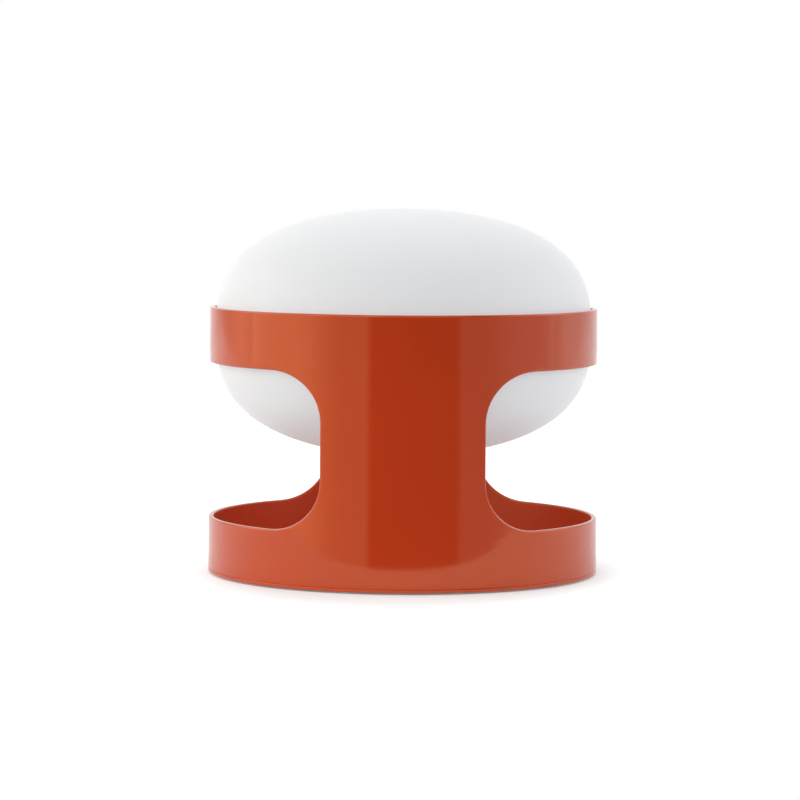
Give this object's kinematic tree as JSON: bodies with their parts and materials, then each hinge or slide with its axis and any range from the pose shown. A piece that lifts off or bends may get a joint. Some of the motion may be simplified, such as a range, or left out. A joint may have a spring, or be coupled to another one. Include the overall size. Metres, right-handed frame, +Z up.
{
  "type": "table lamp",
  "caption": "Low table lamp: a glossy drafted cylinder with side windows holds a flattened opal diffuser in its upper ring; the dome lifts off to reach a screw-in bulb.",
  "frame": {"origin": "on the lamp's axis, at the table surface under the feet", "axes": "+Z up along the lamp's axis, -Y towards the front column, +Y towards the cord gland, +X to the right"},
  "size_m": [0.24, 0.24, 0.2241],
  "materials": {
    "orange_abs": "glossy moulded",
    "opal_acrylic": "satin opal",
    "black_rubber": "matt",
    "black_nylon": "matt moulded",
    "white_nylon": "satin moulded",
    "zinc_steel": "zinc plated",
    "brass": "plain",
    "nickel_brass": "nickel plated",
    "solder_tin": "dull",
    "porcelain": "unglazed",
    "clear_silicone": "soft",
    "brown_lead": "insulated",
    "blue_lead": "insulated",
    "bulb_opal": "frosted",
    "bulb_white": "satin moulded",
    "black_insulator": "fused",
    "board_aluminium": "white lacquer",
    "led_yellow": "phosphor",
    "board_green": "lacquered"
  },
  "bodies": {
    "stand": {"body_shell": "orange_abs", "base_disc": "orange_abs", "base_pedestal": "orange_abs", "rubber_feet": "black_rubber", "cord_gland": "black_nylon", "ballast_plate": "zinc_steel", "shell_screws": "zinc_steel", "pedestal_screws": "zinc_steel", "terminal_block": "white_nylon", "terminal_sleeves": "brass", "terminal_screws": "zinc_steel", "block_screw": "zinc_steel", "live_lead": "brown_lead", "neutral_lead": "blue_lead", "holder_cap": "white_nylon", "holder_skirt": "white_nylon", "holder_core": "porcelain", "holder_screw_shell": "brass", "holder_centre_contact": "brass", "holder_terminals": "brass", "holder_terminal_screws": "zinc_steel", "shade_ring": "white_nylon", "seat_gasket": "clear_silicone", "lower_diffuser": "opal_acrylic"},
    "dome": {"upper_diffuser": "opal_acrylic"},
    "bulb_glass": {"bulb_globe": "bulb_opal"},
    "bulb_base": {"bulb_cap": "nickel_brass", "bulb_collar": "bulb_white", "bulb_insulator": "black_insulator", "bulb_tip": "solder_tin", "bulb_board": "board_aluminium", "bulb_leds": "led_yellow", "bulb_driver": "board_green"}
  },
  "joints": [
    {"name": "upper_diffuser_lift", "type": "slide", "parent": "stand", "child": "dome", "axis": [0, 0, 1], "range_m": [0, 0.12]},
    {"name": "bulb_rise", "type": "slide", "parent": "stand", "child": "bulb_glass", "axis": [0, 0, 1], "range_m": [0, 0.0146]},
    {"name": "bulb_turn", "type": "hinge", "parent": "bulb_glass", "child": "bulb_base", "pos_m": [0, 0, 0.1], "axis": [0, 0, 1], "range_deg": [0, 1440]}
  ],
  "couplings": [
    {"joint": "bulb_rise", "follows": "bulb_turn", "m_per_rad": 0.00057751}
  ]
}
